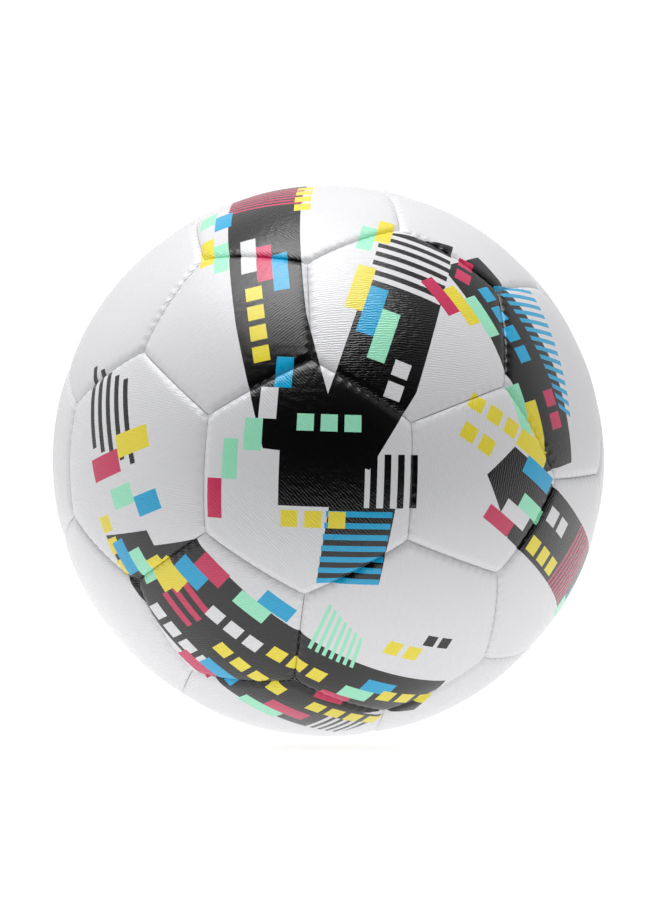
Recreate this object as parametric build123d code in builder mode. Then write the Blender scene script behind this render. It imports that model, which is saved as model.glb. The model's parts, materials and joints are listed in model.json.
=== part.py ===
"""A size 5 soccer ball: 32 stitched panels round a rubber bladder with a needle valve.

Millimetres. The origin is the centre of the ball and +Z is up. Each kind of panel is made once with its middle on
the +Z axis, and then set down at each of its places on the sphere.
"""

from build123d import *
from math import atan, cos, degrees, pi, radians, sin, sqrt
import os

# ---------------------------------------------------------------- driving dimensions
ball_radius = 110.0  # a circumference of 691 mm, inside the 680 to 700 mm of size 5

ball_roll = 2.1  # the panel layout, with a six-sided panel facing -Y, turns this far about Y,
ball_pitch = 3.6  # then this far about X
ball_yaw = -4.4  # and then this far about Z

skin_thickness = 1.3  # the printed cover
foam_thickness = 1.9
lining_thickness = 1.0
seam_gap = 0.05  # from the middle of a seam to each panel's turned-in edge
shoulder_bevel = 1.4  # the outer edge of a panel, where it turns down into the seam
backing_setback = 2.15  # foam and lining stop this far from the middle of a seam

stitch_pitch = 4.0
stitches_per_seam = 10
stitch_depth = 3.0  # below the ball's surface
thread_width = 0.56  # the stitches and their holes are square in section
rail_thickness = 0.6  # the flattened thread behind a panel's edge
rail_width = 0.9
stitch_hole_width = 0.62
thread_clearance = 0.02
rail_half_length = 19.0  # along the seam, from its middle

bladder_gap = 0.1
bladder_wall = 0.8

collar_radius = 5.0  # the valve's mouth, flush with the cover
collar_thickness = 1.2
collar_chamfer = 0.35
neck_radius = 3.25
boot_clearance = 0.05
boot_flange_radius = 16.0
boot_flange_thickness = 1.2
boot_body_radius = 5.5
boot_depth = 22.0  # from the ball's surface to the boot's inner end
plug_radius = 2.25
plug_length = 16.0
plug_recess = 1.5  # from the ball's surface to the plug's outer end
needle_hole_radius = 1.0
needle_hole_depth = 12.0
patch_radius = 24.0
patch_thickness = 0.6

# ---------------------------------------------------------------- sizes that follow from them
# The 32 panels are the faces of a truncated icosahedron. Two rings of three pentagon middles lie round the nearest
# hexagon, at these angles from its middle, and two more lie opposite them.
inner_ring_angle = degrees(atan(3 - sqrt(5)))
outer_ring_angle = degrees(atan(3 + sqrt(5)))
neighbour_cosine = 1 / sqrt(5)  # between the middles of two neighbouring pentagons

seam_chord = 4 * ball_radius / sqrt(58 + 18 * sqrt(5))  # straight length between the two ends of a seam
hexagon_corner_radius = seam_chord
pentagon_corner_radius = seam_chord / (2 * sin(pi / 5))

foam_radius = ball_radius - skin_thickness
lining_radius = foam_radius - foam_thickness
cover_inner_radius = lining_radius - lining_thickness
bladder_radius = cover_inner_radius - bladder_gap
bladder_inner_radius = bladder_radius - bladder_wall
flange_radius = bladder_inner_radius - patch_thickness

stitch_radius = ball_radius - stitch_depth
rail_offset = seam_gap + skin_thickness + thread_clearance + rail_thickness / 2
rail_half_angle = degrees(rail_half_length / stitch_radius)
stitch_angles = [
    (stitch - (stitches_per_seam - 1) / 2) * stitch_pitch / stitch_radius for stitch in range(stitches_per_seam)
]

OUTWARD = (Align.CENTER, Align.CENTER, Align.MIN)
INWARD = (Align.CENTER, Align.CENTER, Align.MAX)


# ---------------------------------------------------------------- places of the panels and seams
def ball_direction(ring_angle, turn):
    """The direction at an angle from the hexagon that faces -Y and a turn round it, in the ball's own frame."""
    across = sin(radians(ring_angle))
    direction = Vector(across * cos(radians(turn)), -cos(radians(ring_angle)), across * sin(radians(turn)))
    return direction.rotate(Axis.Y, ball_roll).rotate(Axis.X, ball_pitch).rotate(Axis.Z, ball_yaw)


def pentagon_directions():
    rings = (
        (inner_ring_angle, 0),
        (outer_ring_angle, 60),
        (180 - outer_ring_angle, 0),
        (180 - inner_ring_angle, 60),
    )
    return [ball_direction(ring_angle, first + 120 * step) for ring_angle, first in rings for step in range(3)]


def are_neighbours(first, second):
    return abs(first.dot(second) - neighbour_cosine) < 0.01


def hexagon_directions(pentagons):
    """A six-sided panel lies between every three pentagons that are neighbours of each other."""
    directions = []
    for i, first in enumerate(pentagons):
        for j, second in enumerate(pentagons[:i]):
            for third in pentagons[:j]:
                if are_neighbours(first, second) and are_neighbours(second, third) and are_neighbours(first, third):
                    directions.append((first + second + third).normalized())
    return directions


def top_down(directions):
    return sorted(directions, key=lambda direction: (-round(direction.Z, 3), direction.X))


def panel_places(directions, pentagons, toward_pentagon):
    """The plane of each panel, with its normal out of the ball and its x axis through the middle of a side.

    A hexagon's side faces the nearest pentagon. A pentagon's corner does, so its x axis points the other way.
    """
    places = []
    for normal in directions:
        others = [pentagon for pentagon in pentagons if (pentagon - normal).length > 0.01]
        nearest = max(others, key=lambda pentagon: round(pentagon.dot(normal), 3))
        across = (nearest - normal * nearest.dot(normal)) * toward_pentagon
        places.append(Plane(origin=(0, 0, 0), x_dir=across, z_dir=normal))
    return places


def side_slope(sides, corner_radius):
    """The angle between a panel's middle and the middle of one of its sides."""
    return atan(corner_radius * cos(pi / sides) / sqrt(ball_radius**2 - corner_radius**2))


def seam_places(panels):
    """The plane of each seam, normal out of the ball and x axis along the seam, from the sides of the hexagons."""
    slope = side_slope(6, hexagon_corner_radius)
    places = []
    for panel in panels:
        for side in range(6):
            turn = pi * side / 3
            middle = panel.from_local_coords(Vector(sin(slope) * cos(turn), sin(slope) * sin(turn), cos(slope)))
            along = panel.from_local_coords(Vector(-sin(turn), cos(turn), 0))
            if all((middle - other.z_dir).length > 0.01 for other in places):
                places.append(Plane(origin=(0, 0, 0), x_dir=along, z_dir=middle))
    return places


pentagon_middles = top_down(pentagon_directions())
hexagon_middles = top_down(hexagon_directions(pentagon_middles))
pentagon_places = panel_places(pentagon_middles, pentagon_middles, toward_pentagon=-1)
hexagon_places = panel_places(hexagon_middles, pentagon_middles, toward_pentagon=1)

# The valve is in the six-sided panel that faces most nearly back and up.
valve_place = max(hexagon_places, key=lambda place: place.z_dir.Y + 0.5 * place.z_dir.Z)


# ---------------------------------------------------------------- the layers of one panel, round the +Z axis
def panel_wedge(sides, corner_radius, outer_radius, inset):
    """The ball's material under one panel, out to a radius, each side lying `inset` inside its seam."""
    slope = side_slope(sides, corner_radius)
    with BuildPart() as wedge:
        Sphere(outer_radius, rotation=(90, 0, 0))
        for side in range(sides):
            outward = Vector(cos(slope), 0, -sin(slope)).rotate(Axis.Z, 360 * side / sides)
            split(bisect_by=Plane(origin=outward * -inset, z_dir=outward), keep=Keep.BOTTOM)
    return wedge


def stitch_hole_planes(sides, corner_radius):
    """One plane for every stitch hole of a panel, with its normal out through the turned-in edge."""
    slope = side_slope(sides, corner_radius)
    planes = []
    for side in range(sides):
        turn = 360 * side / sides
        outward = Vector(cos(slope), 0, -sin(slope)).rotate(Axis.Z, turn)
        for angle in stitch_angles:
            stitch = Vector(sin(slope) * cos(angle), sin(angle), cos(slope) * cos(angle)).rotate(Axis.Z, turn)
            along = stitch.cross(outward)
            planes.append(Plane(origin=stitch * stitch_radius, x_dir=along, z_dir=outward))
    return planes


def cover_panel(sides, corner_radius):
    """The printed cover: a thin outer shell whose edges turn in along the seams and carry the stitch holes."""
    outside = panel_wedge(sides, corner_radius, ball_radius, seam_gap)
    inside = panel_wedge(sides, corner_radius, foam_radius, seam_gap + skin_thickness)
    with BuildPart() as cover:
        add(outside.part)
        chamfer(cover.faces().sort_by(Axis.Z)[-1].edges(), shoulder_bevel)
        add(inside.part, mode=Mode.SUBTRACT)
        Sphere(cover_inner_radius, mode=Mode.SUBTRACT)
        with Locations(*stitch_hole_planes(sides, corner_radius)):
            Box(stitch_hole_width, stitch_hole_width, 4 * skin_thickness, mode=Mode.SUBTRACT)
    return cover.part


def backing_layer(sides, corner_radius, outer_radius, inner_radius):
    """The foam or the lining of a panel, between two radii and clear of the stitching."""
    with BuildPart() as backing:
        add(panel_wedge(sides, corner_radius, outer_radius, backing_setback).part)
        Sphere(inner_radius, mode=Mode.SUBTRACT)
    return backing.part


def seam_stitching():
    """One seam's thread: a rail behind each turned-in edge, and the stitches that cross between them.

    The seam's middle is on the +Z axis, the seam runs along X, and the stitches cross it along Y.
    """
    with BuildPart() as run:
        with BuildSketch(Plane.YZ.rotated((0, -rail_half_angle, 0))):
            with Locations((-rail_offset, stitch_radius), (rail_offset, stitch_radius)):
                Rectangle(rail_thickness, rail_width)
        revolve(axis=Axis.Y, revolution_arc=2 * rail_half_angle)
        for angle in stitch_angles:
            middle = Vector(sin(angle), 0, cos(angle)) * stitch_radius
            with Locations(Plane(origin=middle, x_dir=(cos(angle), 0, -sin(angle)), z_dir=(0, 1, 0))):
                Box(thread_width, thread_width, 2 * rail_offset - rail_thickness)
    return run.part


def export(builder, name):
    builder.part.label = name
    export_step(builder.part, f"parts/{name}.step")


# ---------------------------------------------------------------- the pieces
os.makedirs("parts", exist_ok=True)

hexagon_cover = cover_panel(6, hexagon_corner_radius)
for number, place in enumerate(hexagon_places, 1):
    with BuildPart(place) as hexagon_panel:
        add(hexagon_cover)
        if place is valve_place:
            Cylinder(collar_radius + boot_clearance, 2 * ball_radius, align=OUTWARD, mode=Mode.SUBTRACT)
    export(hexagon_panel, f"hexagon_panel_{number:02d}")

pentagon_cover = cover_panel(5, pentagon_corner_radius)
for number, place in enumerate(pentagon_places, 1):
    with BuildPart(place) as pentagon_panel:
        add(pentagon_cover)
    export(pentagon_panel, f"pentagon_panel_{number:02d}")

layers = (("foam", foam_radius, lining_radius), ("lining", lining_radius, cover_inner_radius))
for layer, outer_radius, inner_radius in layers:
    hexagon_layer = backing_layer(6, hexagon_corner_radius, outer_radius, inner_radius)
    with BuildPart() as hexagon_backing:
        with Locations(*hexagon_places):
            add(hexagon_layer)
        with Locations(valve_place):
            Cylinder(neck_radius + boot_clearance, 2 * ball_radius, align=OUTWARD, mode=Mode.SUBTRACT)
    export(hexagon_backing, f"hexagon_{layer}")

    pentagon_layer = backing_layer(5, pentagon_corner_radius, outer_radius, inner_radius)
    with BuildPart() as pentagon_backing:
        with Locations(*pentagon_places):
            add(pentagon_layer)
    export(pentagon_backing, f"pentagon_{layer}")

stitching = seam_stitching()
with BuildPart() as seam_thread:
    with Locations(*seam_places(hexagon_places)):
        add(stitching)
export(seam_thread, "seam_thread")

with BuildPart(valve_place) as bladder:
    Sphere(bladder_radius)
    Sphere(bladder_inner_radius, mode=Mode.SUBTRACT)
    Cylinder(neck_radius + boot_clearance, 2 * ball_radius, align=OUTWARD, mode=Mode.SUBTRACT)
export(bladder, "bladder")

# A disc bonded inside the bladder where the valve passes through it.
with BuildPart(valve_place) as valve_patch:
    Cylinder(patch_radius, 2 * ball_radius, align=OUTWARD)
    Sphere(bladder_inner_radius, mode=Mode.INTERSECT)
    Sphere(flange_radius, mode=Mode.SUBTRACT)
    Cylinder(neck_radius + boot_clearance, 2 * ball_radius, align=OUTWARD, mode=Mode.SUBTRACT)
export(valve_patch, "valve_patch")

# The boot's dished flange is bonded to the patch, its neck passes out through the wall and its collar closes the
# hole in the cover. The collar's rim is level with the ball's surface.
collar_height = sqrt(ball_radius**2 - collar_radius**2)
with BuildPart(valve_place) as valve_boot:
    Cylinder(boot_flange_radius, 2 * ball_radius, align=OUTWARD)
    Sphere(flange_radius, mode=Mode.INTERSECT)
    Sphere(flange_radius - boot_flange_thickness, mode=Mode.SUBTRACT)
    with Locations((0, 0, ball_radius - boot_depth)):
        Cylinder(boot_body_radius, flange_radius - boot_flange_thickness / 2 - ball_radius + boot_depth, align=OUTWARD)
    with Locations((0, 0, collar_height)):
        Cylinder(neck_radius, collar_height - flange_radius + boot_flange_thickness, align=INWARD)
        Cylinder(collar_radius, collar_thickness, align=INWARD)
        Cylinder(plug_radius, plug_length + plug_recess, align=INWARD, mode=Mode.SUBTRACT)
    collar_face = valve_boot.faces().sort_by(Axis(origin=(0, 0, 0), direction=valve_place.z_dir))[-1]
    chamfer(collar_face.edges(), collar_chamfer)
export(valve_boot, "valve_boot")

with BuildPart(valve_place) as valve_plug:
    with Locations((0, 0, collar_height - plug_recess)):
        Cylinder(plug_radius, plug_length, align=INWARD)
        Cylinder(needle_hole_radius, needle_hole_depth, align=INWARD, mode=Mode.SUBTRACT)
export(valve_plug, "valve_plug")

needle_mouth = valve_place.z_dir * (collar_height - plug_recess)
print("needle valve mouth:", needle_mouth, "axis:", valve_place.z_dir)
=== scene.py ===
"""Looks of a stitched soccer ball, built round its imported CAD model.

Each of the 32 panels gets its own detailed mesh: a skin that rolls down into the seams, puckers at the
stitches and carries the print as separate areas of ink. A panel is meshed on its flat chart, which touches
the ball at the panel's middle and looks along the rays from the ball's centre, so a great circle is a
straight line there. The print is laid out along strips that run round the ball and cross many panels.
"""

import json
import math

import bpy
import numpy as np
from mathutils import Matrix, Vector
from mathutils.geometry import delaunay_2d_cdt


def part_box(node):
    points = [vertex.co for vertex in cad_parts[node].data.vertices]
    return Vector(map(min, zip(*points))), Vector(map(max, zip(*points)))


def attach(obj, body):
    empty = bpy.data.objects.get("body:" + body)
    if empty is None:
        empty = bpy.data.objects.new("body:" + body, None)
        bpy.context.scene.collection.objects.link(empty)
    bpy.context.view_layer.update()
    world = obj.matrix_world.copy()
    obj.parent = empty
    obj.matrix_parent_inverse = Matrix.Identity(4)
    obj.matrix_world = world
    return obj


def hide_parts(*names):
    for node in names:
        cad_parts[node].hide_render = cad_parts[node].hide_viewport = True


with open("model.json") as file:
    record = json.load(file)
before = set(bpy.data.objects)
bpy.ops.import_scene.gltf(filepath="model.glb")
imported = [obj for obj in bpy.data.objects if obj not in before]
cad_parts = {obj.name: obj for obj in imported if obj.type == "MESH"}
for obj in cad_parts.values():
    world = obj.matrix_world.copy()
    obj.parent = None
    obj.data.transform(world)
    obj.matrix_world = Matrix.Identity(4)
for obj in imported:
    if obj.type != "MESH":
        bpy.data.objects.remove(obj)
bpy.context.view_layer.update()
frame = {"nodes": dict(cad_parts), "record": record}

# ---------------------------------------------------------------- sizes
# Millimetres, unless a name or comment says otherwise.
MOUNTS = {mount["name"]: mount for mount in frame["record"]["mounts"]}
BALL_RADIUS = -1000 * MOUNTS["ground_contact"]["pos_m"][2]
VALVE_DIRECTION = np.array(MOUNTS["needle_valve"]["axis"])

BALL_ROLL = 2.1  # degrees about Y, then X, then Z, from a layout with a six-sided panel facing -Y
BALL_PITCH = 3.6
BALL_YAW = -4.4

SKIN = 1.3
FLANGE_DEPTH = 4.2  # how far the turned-in edges reach below the ball's surface
SEAM_GAP = 0.05  # from the middle of a seam to each panel's edge
SEAM_DEPTH = 1.5  # how far a panel's edge lies below the ball's surface
SEAM_ROLL = 3.6  # the width over which a panel rolls down into a seam
PILLOW_DEPTH = 0.35  # the slighter fall of the whole panel towards its seams
PILLOW_WIDTH = 7.0
STITCH_PITCH = 4.0
STITCH_PULL = 0.2  # how far the thread pulls the edge down at each stitch
STITCH_REACH = 1.7
STITCH_LINE = 0.8  # from a seam to the line on which the thread pulls most
VALVE_HOLE = 5.05

EDGE_ROWS = (0.3, 0.7, 1.2, 1.8, 2.5, 3.4, 4.6, 6.4)  # distances of the mesh's rows from a seam
EDGE_STEPS = (44, 44, 44, 44, 44, 36, 26, 18)  # points along each side in those rows
SPACING = 3.4  # between the mesh's points inside the rows
BACK_SPACING = 3 * SPACING  # the same on the back of the skin
GRID_MARGIN = 1.5  # between the innermost row and the first of those points
PANEL_REACH = 60  # further than any corner of a panel lies from its middle
VALVE_HOLE_STEPS = 48
OUTLINE_STEP = 2.5  # the longest piece of a print shape's edge
GRAIN_TURN = 37  # degrees between the cover's grain on one panel and on the next
GRAIN_SIZE = 100  # millimetres to one unit of the grain's coordinates
PRINT_OVERLAP = 3.0  # how far print shapes reach past a seam before they are cut off
PRINT_HORIZON = 0.5  # cosine of the angle from a panel's middle at which they are cut off in any case

INNER_RING = math.degrees(math.atan(3 - math.sqrt(5)))
OUTER_RING = math.degrees(math.atan(3 + math.sqrt(5)))
NEIGHBOUR_COSINE = 1 / math.sqrt(5)
CORNER_COSINE = 0.9  # a panel's own corners lie nearer to its middle than this, and other corners don't
SAME_DIRECTION = 0.999  # cosine above which two directions are one
TOLERANCE = 0.01
NORMAL_STEP = 0.0004  # radians over which the skin's slope is measured
INSIDE_OUTLINES = 1  # the triangulation's setting that leaves out what is outside every loop
MERGE_DISTANCE = 1e-5  # points of the triangulation closer than this are one


# ---------------------------------------------------------------- layout of the panels
def unit(vector):
    return vector / np.linalg.norm(vector)


def ball_direction(ring_angle, turn):
    """The direction at an angle from the hexagon that faces -Y and a turn round it, in degrees."""
    ring, turn = math.radians(ring_angle), math.radians(turn)
    direction = Vector((math.sin(ring) * math.cos(turn), -math.cos(ring), math.sin(ring) * math.sin(turn)))
    for axis, angle in (("Y", BALL_ROLL), ("X", BALL_PITCH), ("Z", BALL_YAW)):
        direction = Matrix.Rotation(math.radians(angle), 3, axis) @ direction
    return np.array(direction)


def pentagon_middles():
    rings = ((INNER_RING, 0), (OUTER_RING, 60), (180 - OUTER_RING, 0), (180 - INNER_RING, 60))
    return [ball_direction(angle, first + 120 * step) for angle, first in rings for step in range(3)]


def neighbours(first, second):
    return abs(first @ second - NEIGHBOUR_COSINE) < TOLERANCE


def hexagon_middles(pentagons):
    middles = []
    for i, first in enumerate(pentagons):
        for j, second in enumerate(pentagons[:i]):
            for third in pentagons[:j]:
                if neighbours(first, second) and neighbours(second, third) and neighbours(first, third):
                    middles.append(unit(first + second + third))
    return middles


def panel_corners(pentagons):
    """Every panel corner lies a third of the way from one pentagon's middle to a neighbour's."""
    return [unit(2 * first + second)
            for first in pentagons for second in pentagons if neighbours(first, second)]


class Panel:
    """One panel: its chart axes (right, up, out of the ball), its corners and its seams."""

    def __init__(self, out, ball_corners):
        self.out = out
        self.up = unit(np.array((0.0, 0.0, 1.0)) - out * out[2])
        self.right = np.cross(self.up, out)
        corners = [corner for corner in ball_corners if corner @ out > CORNER_COSINE]
        corners.sort(key=lambda corner: math.atan2(corner @ self.up, corner @ self.right))
        self.corners = self.to_chart(np.array(corners))
        following = corners[1:] + corners[:1]
        self.seams = [(unit(np.cross(a, b)), unit(a + b), unit(b - a)) for a, b in zip(corners, following)]
        self.slope = math.acos(out @ self.seams[0][1])

    def to_chart(self, directions):
        depth = directions @ self.out
        across = directions @ self.right / depth
        upward = directions @ self.up / depth
        return np.stack((across, upward), axis=-1) * BALL_RADIUS

    def to_ball(self, points):
        points = np.asarray(points, float) / BALL_RADIUS
        directions = self.out + points[:, :1] * self.right + points[:, 1:] * self.up
        return directions / np.linalg.norm(directions, axis=1, keepdims=True)

    def row(self, distance, steps):
        """A closed row of chart points at a distance from the seams, with `steps` points along each side."""
        scale = math.tan(self.slope - distance / BALL_RADIUS) / math.tan(self.slope)
        corners = self.corners * scale
        shares = np.arange(steps)[:, None] / steps
        sides = zip(corners, np.roll(corners, -1, axis=0))
        return np.concatenate([start + shares * (end - start) for start, end in sides])

    def seam_distances(self, directions):
        return [BALL_RADIUS * np.arcsin(np.clip(directions @ inward, -1, 1)) for inward, _, _ in self.seams]

    def surface_radius(self, directions):
        """Radius of the finished skin: round, with its edges rolled down and pulled in at each stitch."""
        flat = np.ones(len(directions))
        pull = np.zeros(len(directions))
        pillow = np.ones(len(directions))
        for (inward, middle, along), distance in zip(self.seams, self.seam_distances(directions)):
            roll = np.clip(1 - distance / SEAM_ROLL, 0, 1)
            flat *= np.sqrt(np.clip(1 - roll**2, 0, 1))
            pillow *= 1 - np.exp(-((distance / PILLOW_WIDTH) ** 2))
            place = BALL_RADIUS * np.arctan2(directions @ along, directions @ middle)
            tight = 0.5 - 0.5 * np.cos(2 * math.pi * place / STITCH_PITCH)
            pull += tight * np.exp(-((distance - STITCH_LINE) / STITCH_REACH) ** 2)
        return BALL_RADIUS - SEAM_DEPTH * (1 - flat) - PILLOW_DEPTH * (1 - pillow) - STITCH_PULL * pull

    def surface_normals(self, directions):
        height = self.surface_radius(directions)[:, None] * directions
        across = np.cross(directions, self.up)
        across /= np.linalg.norm(across, axis=1, keepdims=True)
        upward = np.cross(across, directions)
        slopes = []
        for tangent in (across, upward):
            moved = directions + NORMAL_STEP * tangent
            moved /= np.linalg.norm(moved, axis=1, keepdims=True)
            slopes.append(self.surface_radius(moved)[:, None] * moved - height)
        normals = np.cross(slopes[0], slopes[1])
        normals *= np.sign(np.sum(normals * directions, axis=1, keepdims=True))
        return normals / np.linalg.norm(normals, axis=1, keepdims=True)


# ---------------------------------------------------------------- the print
BLACK, BLUE, PINK, YELLOW, MINT, WHITE = "black", "blue", "pink", "yellow", "mint", "white"
ALONG_STEP = 6.0  # the longest piece of an edge on a strip, so that a long edge follows the strip's curve


def compass(azimuth, elevation):
    """The direction at an azimuth from -Y towards +X and an elevation above the horizon, both in degrees."""
    azimuth, elevation = math.radians(azimuth), math.radians(elevation)
    level = math.cos(elevation)
    return np.array((math.sin(azimuth) * level, -math.cos(azimuth) * level, math.sin(elevation)))


def cut_edges(outline, longest):
    """The outline with its long edges cut into equal pieces."""
    points = []
    for start, end in zip(outline, outline[1:] + outline[:1]):
        count = max(1, math.ceil(math.dist(start, end) / longest))
        points += [(start[0] + (end[0] - start[0]) * i / count, start[1] + (end[1] - start[1]) * i / count)
                   for i in range(count)]
    return points


class Strip:
    """A strip of the ball that runs from one direction towards another, on which motifs are laid.

    A motif is a list of inks with outlines, in millimetres along the strip and to its left.
    """

    def __init__(self, start, end):
        self.start = start
        self.left = unit(np.cross(start, end))
        self.ahead = np.cross(self.left, start)

    def lay(self, *motifs):
        """The motifs' inks with their outlines as directions from the ball's middle."""
        shapes = []
        for ink, outline in [shape for motif in motifs for shape in motif]:
            places = np.array(cut_edges(outline, ALONG_STEP)) / BALL_RADIUS
            turn, rise = places[:, :1], places[:, 1:]
            level = np.cos(turn) * self.start + np.sin(turn) * self.ahead
            shapes.append((ink, np.cos(rise) * level + np.sin(rise) * self.left))
        return shapes


def area(ink, *outline):
    return [(ink, list(outline))]


def block(ink, along, aside, length, width, slant=0.0):
    """A block whose near right corner is at a place; its left side may be shifted ahead."""
    end, left = along + length, aside + width
    return area(ink, (along, aside), (end, aside), (end + slant, left), (along + slant, left))


def row(ink, count, step, *first):
    """A row of equal blocks: the step from one to the next, along and aside, and the first block."""
    along, aside, *size = first
    return [shape for i in range(count)
            for shape in block(ink, along + i * step[0], aside + i * step[1], *size)]


def hatching(ink, count, along, length, near, far, slant=0.0, share=0.5):
    """Stripes across an area, whose right and left edges run evenly from `near` to `far`."""
    shapes = []
    for i in range(count):
        begin, end = i / count, (i + share) / count
        right_begin, right_end = (near[0] + (far[0] - near[0]) * part for part in (begin, end))
        left_begin, left_end = (near[1] + (far[1] - near[1]) * part for part in (begin, end))
        shapes += area(ink, (along + begin * length, right_begin), (along + end * length, right_end),
                       (along + end * length + slant, left_end), (along + begin * length + slant, left_begin))
    return shapes


def stairs(inks, along, aside, length, width, shift):
    """Equal blocks side by side, one in each ink, each shifted along by the same amount from the last."""
    return [shape for i, ink in enumerate(inks)
            for shape in block(ink, along + i * shift, aside + i * width, length, width)]


def squares(ink, count, along, aside, size=6.4):
    """A row of small squares along the strip."""
    return row(ink, count, (1.4 * size, 0.0), along, aside, size, size)


def bars(ink, count, along, aside, length, pitch, shift=0.0):
    """Thin bars side by side, half as wide as their pitch."""
    return row(ink, count, (shift, pitch), along, aside, length, 0.5 * pitch)


CROWN = Strip(compass(-60, 76), compass(-10, 15))  # down to the middle of the front
RISE = Strip(compass(3, 0), compass(31, 52))  # from there up to the right
SHOULDER = Strip(compass(41, 41), compass(51, 3))  # down the right-hand side
FLANK = Strip(compass(30, -1), compass(80, -26))  # across the right-hand side
MIDDLE = Strip(compass(-18, -3), compass(40, -4))  # across the front
RAYS = Strip(compass(-54, 21), compass(-43, -16))  # down the left-hand side
SWEEP = Strip(compass(-47, -13), compass(20, -70))  # from the left-hand side down to the foot
FOOT = Strip(compass(-34, -20), compass(66, -53))  # below it, and on towards the right
HALF_PRINT = [
    *CROWN.lay(area(BLACK, (0, -15), (100, -13), (150, -10), (160, 20), (100, 14), (0, 15))),
    *RISE.lay(area(BLACK, (0, -10), (0, 14), (104, 14), (112, -14), (34, -17))),
    *SHOULDER.lay(area(BLACK, (-6, -12), (-6, 12), (46, 16), (84, 12), (84, -8), (40, -14))),
    *FLANK.lay(area(BLACK, (6, 0), (12, 16), (66, 14), (126, 14), (120, -14), (30, -14))),
    *SWEEP.lay(area(BLACK, (0, -12), (6, 12), (136, 12), (132, -12))),
    *FOOT.lay(area(BLACK, (-16, -14), (0, 14), (60, 12), (124, 10), (124, -12), (96, -20), (30, -14))),
    *MIDDLE.lay(block(BLACK, 16, -10, 32, 24), row(BLACK, 4, (5.2, 0), 50, -10, 2.6, 20),
                block(BLACK, 31, -40, 25, 30, 4)),
    *CROWN.lay(hatching(PINK, 8, 2, 28, (-15, 15), (-15, 15), 4), stairs((MINT, BLUE), 18, -27, 15, 7, 8),
               squares(YELLOW, 4, 6, 12), stairs((YELLOW, MINT), 46, -26, 18, 6, 7),
               stairs((WHITE, PINK, BLUE), 56, -9, 20, 6, 6), squares(YELLOW, 4, 84, -8)),
    *RISE.lay(hatching(WHITE, 6, 74, 32, (-15, 14), (-15, 14)), squares(WHITE, 2, 28, -12),
              stairs((MINT, BLUE, YELLOW), 40, -2, 22, 7, 9), squares(PINK, 2, 92, -24),
              stairs((YELLOW, MINT), 96, 10, 16, 6, -7)),
    *SHOULDER.lay(hatching(BLUE, 14, 8, 56, (8, 32), (10, 16), 5), squares(BLUE, 4, 8, -4),
                  stairs((PINK, YELLOW, MINT), -4, -26, 18, 6, 7), squares(PINK, 2, 54, 2),
                  stairs((MINT, YELLOW), 48, -16, 20, 6, 8)),
    *FLANK.lay(squares(YELLOW, 4, -14, 18), squares(YELLOW, 2, -12, 6), squares(WHITE, 2, 44, 2),
               stairs((PINK, WHITE, MINT), 14, -14, 15, 6, 6), stairs((BLUE, YELLOW), 20, 10, 18, 7, -8),
               hatching(PINK, 8, 68, 26, (-14, 14), (-14, 14), 4), squares(YELLOW, 3, 42, -12),
               stairs((MINT, BLUE), 96, -16, 14, 8, 8)),
    *MIDDLE.lay(bars(BLUE, 7, 31, -40, 25, 4.4, 0.5), stairs((MINT, WHITE, BLUE), 2, 10, 7, 12, 5),
                stairs((PINK, MINT), -12, -16, 6, 15, 6), squares(YELLOW, 3, 17, -18),
                squares(MINT, 3, 22, 18)),
    *RAYS.lay(bars(BLACK, 5, 0, -12, 34, 5.2, 3), stairs((PINK, YELLOW), 38, -14, 9, 17, -5),
              stairs((MINT, BLUE), 52, -6, 8, 12, 6), squares(YELLOW, 3, 60, -18)),
    *SWEEP.lay(stairs((BLUE, MINT, YELLOW), 4, -10, 14, 7, 6), squares(WHITE, 4, 32, -10),
               bars(PINK, 3, 30, 2, 16, 6), stairs((PINK, BLUE), 54, -16, 16, 7, 7),
               squares(YELLOW, 4, 58, 4), stairs((MINT, PINK), 84, -14, 18, 7, 8),
               squares(YELLOW, 4, 104, 4), hatching(WHITE, 5, 116, 18, (-12, 4), (-12, 4))),
    *FOOT.lay(hatching(MINT, 7, 60, 22, (8, 30), (8, 22), -5), squares(WHITE, 3, 22, -8),
              stairs((YELLOW, BLUE, PINK), -4, -10, 13, 8, 5), stairs((MINT, BLUE), 26, 6, 14, 7, 7),
              squares(YELLOW, 3, 50, -6), stairs((PINK, MINT, BLUE), 78, -16, 13, 7, 6),
              squares(YELLOW, 2, 86, 20), squares(BLACK, 2, 100, 28, 5.0), squares(YELLOW, 3, 100, -6)),
]
HALF_TURN = np.diag((-1.0, -1.0, 1.0))
WHOLE_PRINT = HALF_PRINT + [(ink, outline @ HALF_TURN) for ink, outline in HALF_PRINT]


def keep_side(points, heights):
    """The part of a closed outline where the given heights are above zero."""
    kept = []
    for i, (point, height) in enumerate(zip(points, heights)):
        following, next_height = points[(i + 1) % len(points)], heights[(i + 1) % len(points)]
        if height > 0:
            kept.append(point)
        if height * next_height < 0:
            kept.append(point + (following - point) * height / (height - next_height))
    return np.array(kept)


def print_on(panel):
    """The print's inks and chart outlines that reach a panel, cut off a little beyond its seams."""
    shapes = []
    for ink, outline in WHOLE_PRINT:
        outline = keep_side(outline, outline @ panel.out - PRINT_HORIZON)
        for inward, _, _ in panel.seams:
            if len(outline) > 2:
                outline = keep_side(outline, outline @ inward + PRINT_OVERLAP / BALL_RADIUS)
        if len(outline) > 2:
            shapes.append((ink, [tuple(point) for point in panel.to_chart(outline)]))
    return shapes


# ---------------------------------------------------------------- panel meshes
def nearest(panels, direction):
    return max(panels, key=lambda panel: panel.out @ direction)


def anticlockwise(outline):
    following = outline[1:] + outline[:1]
    twice_area = sum(start[0] * end[1] - start[1] * end[0] for start, end in zip(outline, following))
    return outline if twice_area > 0 else outline[::-1]


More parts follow.
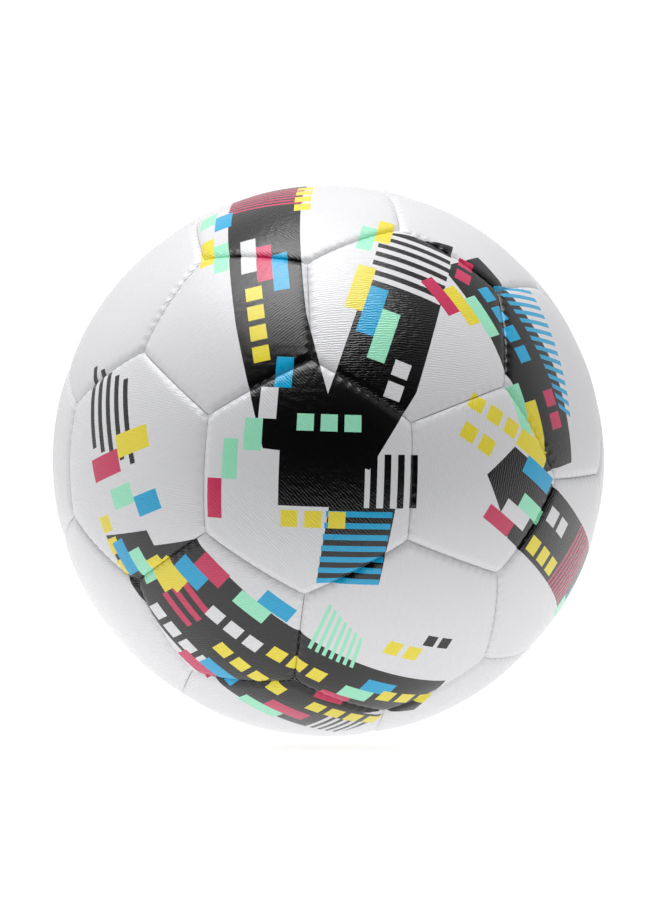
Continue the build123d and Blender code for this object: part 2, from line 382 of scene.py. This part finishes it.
def triangulate(loops, rows, points):
    """Triangles inside the first loop, with every loop and row as edges of the mesh.

    Gives the points, the triangles with the numbers of the loops that each lies in, and the numbers of the
    given points from which each point was made.
    """
    vertices, edges, faces = [], [], []
    for closed, group in [(True, loop) for loop in loops] + [(False, row) for row in rows]:
        numbers = list(range(len(vertices), len(vertices) + len(group)))
        vertices += [Vector(point) for point in group]
        if closed:
            faces.append(numbers)
        else:
            edges += list(zip(numbers, numbers[1:] + numbers[:1]))
    vertices += [Vector(point) for point in points]
    placed, _, triangles, origins, _, owners = delaunay_2d_cdt(
        vertices, edges, faces, INSIDE_OUTLINES, MERGE_DISTANCE, True)
    kept = [(tuple(face), owner) for face, owner in zip(triangles, owners) if 0 in owner]
    return np.array([tuple(point) for point in placed]), kept, origins


def inner_points(panel, distance, spacing):
    """A triangular grid of chart points further than a distance from every seam."""
    reach = int(PANEL_REACH / spacing)
    grid = [((i + 0.5 * (j % 2)) * spacing, j * spacing * math.sqrt(3) / 2)
            for i in range(-reach, reach) for j in range(-reach, reach)]
    directions = panel.to_ball(grid)
    inside = np.min(panel.seam_distances(directions), axis=0) > distance
    return np.array(grid)[inside]


def boundary_loops(faces):
    """The closed loops of edges that belong to one triangle only."""
    following = {}
    used = {(face[i], face[(i + 1) % 3]) for face in faces for i in range(3)}
    for start, end in used:
        if (end, start) not in used:
            following[start] = end
    loops = []
    while following:
        start, current = following.popitem()
        loop = [start]
        while current != start:
            loop.append(current)
            current = following.pop(current)
        loops.append(loop)
    return sorted(loops, key=len, reverse=True)


def circle(radius, steps):
    return [(radius * math.cos(2 * math.pi * i / steps), radius * math.sin(2 * math.pi * i / steps))
            for i in range(steps)]


def panel_mesh(panel, inks):
    """The panel's closed skin: printed outside, turned-in edges and back, as one mesh."""
    outside = panel.row(SEAM_GAP, EDGE_STEPS[0])
    rows = [panel.row(distance, steps) for distance, steps in zip(EDGE_ROWS, EDGE_STEPS)]
    has_valve = panel.out @ VALVE_DIRECTION > SAME_DIRECTION
    shapes = print_on(panel)
    loops = [outside] + [cut_edges(anticlockwise(outline), OUTLINE_STEP) for _, outline in shapes]
    if has_valve:
        loops.append(circle(VALVE_HOLE, VALVE_HOLE_STEPS))
    grid = inner_points(panel, EDGE_ROWS[-1] + GRID_MARGIN, SPACING)
    points, kept, _ = triangulate(loops, rows, grid)
    if has_valve:
        kept = [(face, owner) for face, owner in kept if len(loops) - 1 not in owner]
    colours = [WHITE] + [ink for ink, _ in shapes]
    faces = [face for face, _ in kept]
    slots = [inks.index(colours[max(owner)]) for _, owner in kept]

    used = sorted({number for face in faces for number in face})
    renumber = {number: i for i, number in enumerate(used)}
    faces = [tuple(renumber[number] for number in face) for face in faces]
    chart = points[used]
    directions = panel.to_ball(chart)
    radii = panel.surface_radius(directions)
    top_count = len(chart)

    rims = boundary_loops(faces)
    outer, holes = rims[0], rims[1:]

    def add_ring(ring_chart, ring_radii):
        nonlocal chart, radii
        first = len(chart)
        chart = np.concatenate((chart, ring_chart))
        radii = np.concatenate((radii, ring_radii))
        return list(range(first, first + len(ring_chart)))

    def bridge(upper, lower):
        for i in range(len(upper)):
            j = (i + 1) % len(upper)
            faces.append((upper[j], upper[i], lower[i], lower[j]))
            slots.append(0)

    edge_angle = panel.slope - SEAM_GAP / BALL_RADIUS
    narrowing = math.tan(edge_angle - SKIN / BALL_RADIUS) / math.tan(edge_angle)
    flange_radius = BALL_RADIUS - FLANGE_DEPTH
    outer_chart = chart[outer]
    inner_chart = outer_chart * narrowing
    inner_radii = panel.surface_radius(panel.to_ball(inner_chart)) - SKIN
    edge = add_ring(outer_chart, np.full(len(outer), flange_radius))
    lip = add_ring(inner_chart, np.full(len(outer), flange_radius))
    ceiling = add_ring(inner_chart, inner_radii)
    bridge(outer, edge)
    bridge(edge, lip)
    bridge(lip, ceiling)

    back_loops = [list(map(tuple, inner_chart))]
    back_numbers = list(ceiling)
    for rim in holes:
        rim_chart = chart[rim]
        inner_rim = add_ring(rim_chart, panel.surface_radius(panel.to_ball(rim_chart)) - SKIN)
        bridge(rim, inner_rim)
        back_loops.append(list(map(tuple, rim_chart[::-1])))
        back_numbers += inner_rim[::-1]
    back_grid = inner_points(panel, EDGE_ROWS[-1], BACK_SPACING)
    if has_valve:
        back_grid = back_grid[np.hypot(*back_grid.T) > VALVE_HOLE + SPACING]
    back_points, back_kept, origins = triangulate(back_loops, [], back_grid)
    new_chart = [point for point, origin in zip(back_points, origins) if origin[0] >= len(back_numbers)]
    added = iter(add_ring(np.array(new_chart), panel.surface_radius(panel.to_ball(new_chart)) - SKIN))
    numbers = [back_numbers[origin[0]] if origin[0] < len(back_numbers) else next(added)
               for origin in origins]
    for face, owner in back_kept:
        if len(owner) == 1:
            faces.append(tuple(numbers[number] for number in reversed(face)))
            slots.append(0)
    return chart, radii, faces, slots, top_count


def panel_object(name, panel, inks, materials, grain_angle):
    chart, radii, faces, slots, top_count = panel_mesh(panel, inks)
    directions = panel.to_ball(chart)
    mesh = bpy.data.meshes.new(name)
    mesh.from_pydata((directions * radii[:, None] / 1000).tolist(), [], faces)
    for ink in inks:
        mesh.materials.append(materials[ink])
    mesh.polygons.foreach_set("material_index", slots)
    mesh.polygons.foreach_set("use_smooth", [True] * len(faces))

    turn = math.radians(grain_angle)
    rotation = np.array(((math.cos(turn), -math.sin(turn)), (math.sin(turn), math.cos(turn))))
    grain = (chart @ rotation.T / GRAIN_SIZE + 0.5).astype(np.float32)
    corner_vertices = np.empty(len(mesh.loops), dtype=np.int32)
    mesh.loops.foreach_get("vertex_index", corner_vertices)
    layer = mesh.uv_layers.new(name="grain")
    layer.data.foreach_set("uv", grain[corner_vertices].ravel())

    normals = np.empty(3 * len(chart), dtype=np.float32)
    mesh.vertices.foreach_get("normal", normals)
    normals = normals.reshape(-1, 3)
    normals[:top_count] = panel.surface_normals(directions[:top_count])
    mesh.normals_split_custom_set_from_vertices(normals.tolist())
    piece = bpy.data.objects.new(name, mesh)
    bpy.context.scene.collection.objects.link(piece)
    return piece


# ---------------------------------------------------------------- materials
def new_material(name, roughness, specular):
    material = bpy.data.materials.new(name)
    material.use_nodes = True
    shader = material.node_tree.nodes["Principled BSDF"]
    shader.inputs["Roughness"].default_value = roughness
    shader.inputs["Specular IOR Level"].default_value = specular
    return material, material.node_tree, shader


def node(tree, kind, **settings):
    """A new node with its settings; a setting whose name is an input's sets that input's value."""
    made = tree.nodes.new("ShaderNode" + kind)
    for key, value in settings.items():
        if hasattr(made, key):
            setattr(made, key, value)
        else:
            made.inputs[key.replace("_", " ")].default_value = value
    return made


def tint_with_noise(tree, shader, colour, vector, scale, spread):
    """The base colour, a little lighter and darker in soft patches; gives the noise that makes them."""
    noise = node(tree, "TexNoise", Scale=scale, Detail=4.0)
    ramp = node(tree, "ValToRGB")
    ramp.color_ramp.elements[0].color = (*[channel * (1 - spread) for channel in colour], 1)
    ramp.color_ramp.elements[1].color = (*[min(1, channel * (1 + spread)) for channel in colour], 1)
    tree.links.new(vector, noise.inputs["Vector"])
    tree.links.new(noise.outputs["Fac"], ramp.inputs["Fac"])
    tree.links.new(ramp.outputs["Color"], shader.inputs["Base Color"])
    return noise


def vary_roughness(tree, shader, noise, low, high):
    spread = node(tree, "MapRange", To_Min=low, To_Max=high)
    tree.links.new(noise.outputs["Fac"], spread.inputs["Value"])
    tree.links.new(spread.outputs["Result"], shader.inputs["Roughness"])


def bump(tree, shader, height, distance, strength):
    made = node(tree, "Bump", Distance=distance, Strength=strength)
    tree.links.new(height, made.inputs["Height"])
    tree.links.new(made.outputs["Normal"], shader.inputs["Normal"])


def add_heights(tree, first, second, share):
    total = node(tree, "Math", operation="MULTIPLY_ADD")
    tree.links.new(second, total.inputs[0])
    total.inputs[1].default_value = share
    tree.links.new(first, total.inputs[2])
    return total.outputs["Value"]


def cover_material(name, colour):
    """Printed synthetic leather, embossed with fine wavy ribs, with a satin finish."""
    material, tree, shader = new_material("cover_" + name, roughness=0.24, specular=0.6)
    grain = node(tree, "UVMap", uv_map="grain").outputs["UV"]
    noise = tint_with_noise(tree, shader, colour, grain, scale=60.0, spread=0.02)
    vary_roughness(tree, shader, noise, low=0.2, high=0.28)
    ribs = node(tree, "TexWave", bands_direction="Y", Scale=30.0, Distortion=4.0, Detail=1.0,
                Detail_Scale=1.3)
    pores = node(tree, "TexNoise", Scale=75.0, Detail=1.0)
    tree.links.new(grain, ribs.inputs["Vector"])
    tree.links.new(grain, pores.inputs["Vector"])
    heights = add_heights(tree, ribs.outputs["Fac"], pores.outputs["Fac"], share=0.9)
    bump(tree, shader, heights, distance=0.00009, strength=0.7)
    return material


def object_space(tree):
    return node(tree, "TexCoord").outputs["Object"]


def foam_material():
    """Closed-cell foam: off-white with small round cells."""
    material, tree, shader = new_material("closed_cell_foam", roughness=0.75, specular=0.3)
    place = object_space(tree)
    tint_with_noise(tree, shader, (0.69, 0.69, 0.64), place, scale=120.0, spread=0.08)
    cells = node(tree, "TexVoronoi", Scale=900.0)
    tree.links.new(place, cells.inputs["Vector"])
    bump(tree, shader, cells.outputs["Distance"], distance=0.0003, strength=0.6)
    return material


def lining_material():
    """Plain-woven cotton and polyester in its natural colour."""
    material, tree, shader = new_material("woven_lining", roughness=0.85, specular=0.2)
    place = object_space(tree)
    tint_with_noise(tree, shader, (0.57, 0.55, 0.48), place, scale=200.0, spread=0.1)
    threads = [node(tree, "TexWave", bands_direction=way, Scale=400.0, Distortion=0.6) for way in ("X", "Z")]
    for thread in threads:
        tree.links.new(place, thread.inputs["Vector"])
    weave = add_heights(tree, threads[0].outputs["Fac"], threads[1].outputs["Fac"], share=1.0)
    bump(tree, shader, weave, distance=0.0002, strength=0.8)
    shader.inputs["Sheen Weight"].default_value = 0.3
    return material


def thread_material():
    """Waxed polyester thread with a fine twist."""
    material, tree, shader = new_material("waxed_thread", roughness=0.45, specular=0.5)
    place = object_space(tree)
    tint_with_noise(tree, shader, (0.64, 0.64, 0.60), place, scale=700.0, spread=0.1)
    twist = node(tree, "TexWave", bands_direction="DIAGONAL", Scale=520.0, Distortion=0.4)
    tree.links.new(place, twist.inputs["Vector"])
    bump(tree, shader, twist.outputs["Fac"], distance=0.0001, strength=0.8)
    return material


def rubber_material(name, colour, roughness, bloom):
    """Moulded rubber with a fine matt grain and a dusty bloom in patches."""
    material, tree, shader = new_material(name, roughness, specular=0.45)
    place = object_space(tree)
    noise = tint_with_noise(tree, shader, colour, place, scale=45.0, spread=bloom)
    vary_roughness(tree, shader, noise, low=roughness - 0.08, high=roughness + 0.1)
    grain = node(tree, "TexNoise", Scale=2600.0, Detail=4.0)
    tree.links.new(place, grain.inputs["Vector"])
    bump(tree, shader, grain.outputs["Fac"], distance=0.00006, strength=0.6)
    return material


INK_COLOURS = {
    WHITE: (0.72, 0.72, 0.74),
    BLACK: (0.0016, 0.0016, 0.002),
    BLUE: (0.001, 0.37, 0.66),
    PINK: (0.58, 0.02, 0.10),
    YELLOW: (0.82, 0.69, 0.04),
    MINT: (0.33, 0.80, 0.55),
}

pentagons = pentagon_middles()
ball_corners = panel_corners(pentagons)
panels = [Panel(out, ball_corners) for out in pentagons + hexagon_middles(pentagons)]
cover_inks = list(INK_COLOURS)
cover_materials = {ink: cover_material(ink, colour) for ink, colour in INK_COLOURS.items()}

panel_nodes = [name for name in frame["nodes"] if "_panel_" in name]
for number, node_name in enumerate(panel_nodes):
    low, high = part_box(node_name)
    panel = nearest(panels, unit(np.array(low) + np.array(high)))
    cover_name = node_name.replace("panel", "cover")
    piece = panel_object(cover_name, panel, cover_inks, cover_materials, GRAIN_TURN * number)
    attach(piece, "root")
    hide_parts(node_name)

foam = foam_material()
lining = lining_material()
bladder_rubber = rubber_material("bladder_rubber", (0.022, 0.022, 0.025), roughness=0.55, bloom=0.35)
valve_rubber = rubber_material("valve_rubber", (0.03, 0.03, 0.032), roughness=0.5, bloom=0.2)
soft_rubber = rubber_material("soft_rubber", (0.11, 0.10, 0.09), roughness=0.6, bloom=0.2)
INNER_NODES = {
    "hexagon_foam": ("foam", foam),
    "pentagon_foam": ("foam", foam),
    "hexagon_lining": ("lining", lining),
    "pentagon_lining": ("lining", lining),
    "seam_thread": ("thread", thread_material()),
    "bladder": ("bladder", bladder_rubber),
    "valve_patch": ("lining", lining),
    "valve_boot": ("valve_rubber", valve_rubber),
    "valve_plug": ("valve_core", soft_rubber),
}
for node_name, (slot_name, material) in INNER_NODES.items():
    inner = frame["nodes"][node_name]
    inner.data.materials.clear()
    inner.data.materials.append(material)

# ---------------------------------------------------------------- floor, lights and camera
FLOOR_HEIGHT = -BALL_RADIUS / 1000
CAMERA_DISTANCE = 12.65 * BALL_RADIUS / 1000
CAMERA_LENS = 189.682
CAMERA_SENSOR = 36.0
CAMERA_SHIFT = (0.002424, 0.016364)  # across and up, as shares of the picture's width
SKY_LOW = 0.88
SKY_HIGH = 0.6
SKY_BEHIND_CAMERA = 0.01
SKY_SEEN = 1.1  # plain white in the picture
FLOOR_GLOW = 0.85
FLOOR_REACH = 12.0  # metres, like the next
FLOOR_FRONT = -0.3  # it ends before the camera, so that it isn't mirrored in the ball's front


def stage_material():
    material, tree, shader = new_material("studio_floor", roughness=0.8, specular=0.2)
    shader.inputs["Emission Color"].default_value = (1, 1, 1, 1)
    shader.inputs["Emission Strength"].default_value = FLOOR_GLOW
    coordinates = node(tree, "TexCoord").outputs["Object"]
    tint_with_noise(tree, shader, (0.35, 0.35, 0.35), coordinates, scale=3.0, spread=0.01)
    return material


floor_outline = ((-FLOOR_REACH, FLOOR_FRONT), (FLOOR_REACH, FLOOR_FRONT),
                 (FLOOR_REACH, FLOOR_REACH), (-FLOOR_REACH, FLOOR_REACH))
floor_mesh = bpy.data.meshes.new("floor")
floor_mesh.from_pydata([(x, y, FLOOR_HEIGHT) for x, y in floor_outline], [], [(0, 1, 2, 3)])
floor_mesh.materials.append(stage_material())
floor = bpy.data.objects.new("floor", floor_mesh)
bpy.context.scene.collection.objects.link(floor)


def studio_world():
    """Light from all round, dimmer high up and dark where the camera stands; the camera sees plain white."""
    world = bpy.data.worlds.new("studio")
    world.use_nodes = True
    tree = world.node_tree
    background = tree.nodes["Background"]
    direction = node(tree, "TexCoord").outputs["Generated"]
    split = node(tree, "SeparateXYZ")
    tree.links.new(direction, split.inputs["Vector"])
    upward = node(tree, "MapRange", From_Min=-0.1, From_Max=1.0, To_Min=SKY_LOW, To_Max=SKY_HIGH)
    tree.links.new(split.outputs["Z"], upward.inputs["Value"])
    behind_camera = node(tree, "MapRange", interpolation_type="SMOOTHSTEP", From_Min=-0.8, From_Max=0.2,
                         To_Min=SKY_BEHIND_CAMERA, To_Max=1.0)
    tree.links.new(split.outputs["Y"], behind_camera.inputs["Value"])
    strength = node(tree, "Math", operation="MULTIPLY")
    tree.links.new(upward.outputs["Result"], strength.inputs[0])
    tree.links.new(behind_camera.outputs["Result"], strength.inputs[1])
    seen = node(tree, "LightPath").outputs["Is Camera Ray"]
    shown = node(tree, "Mix", B=SKY_SEEN)
    tree.links.new(seen, shown.inputs["Factor"])
    tree.links.new(strength.outputs["Value"], shown.inputs["A"])
    tree.links.new(shown.outputs["Result"], background.inputs["Strength"])
    background.inputs["Color"].default_value = (1, 1, 1, 1)
    return world


def softbox(name, place, width, depth, brightness):
    """A lamp that faces the ball; its brightness is per area, so its power grows with its size."""
    light = bpy.data.lights.new(name, "AREA")
    light.shape = "RECTANGLE"
    light.size = width
    light.size_y = depth
    light.energy = brightness * math.pi * width * depth
    lamp = bpy.data.objects.new(name, light)
    lamp.location = place
    lamp.rotation_euler = (-Vector(place)).to_track_quat("-Z", "Y").to_euler()
    lamp.visible_camera = False
    bpy.context.scene.collection.objects.link(lamp)
    return lamp


bpy.context.scene.world = studio_world()
softbox("top_light", (-0.15, -0.22, 0.95), width=0.9, depth=0.8, brightness=4.9)
front_fill = softbox("front_fill", (0.2, -1.7, 0.2), width=1.6, depth=1.6, brightness=0.45)
front_fill.visible_glossy = False  # it lifts the white ink and leaves the black ink's gloss dark
bpy.context.scene.view_settings.view_transform = "Standard"

camera_data = bpy.data.cameras.new("camera")
camera_data.sensor_fit = "HORIZONTAL"
camera_data.sensor_width = CAMERA_SENSOR
camera_data.lens = CAMERA_LENS
camera_data.shift_x, camera_data.shift_y = CAMERA_SHIFT
camera = bpy.data.objects.new("camera", camera_data)
camera.location = (0, -CAMERA_DISTANCE, 0)
camera.rotation_euler = (math.pi / 2, 0, 0)
bpy.context.scene.collection.objects.link(camera)
bpy.context.scene.camera = camera
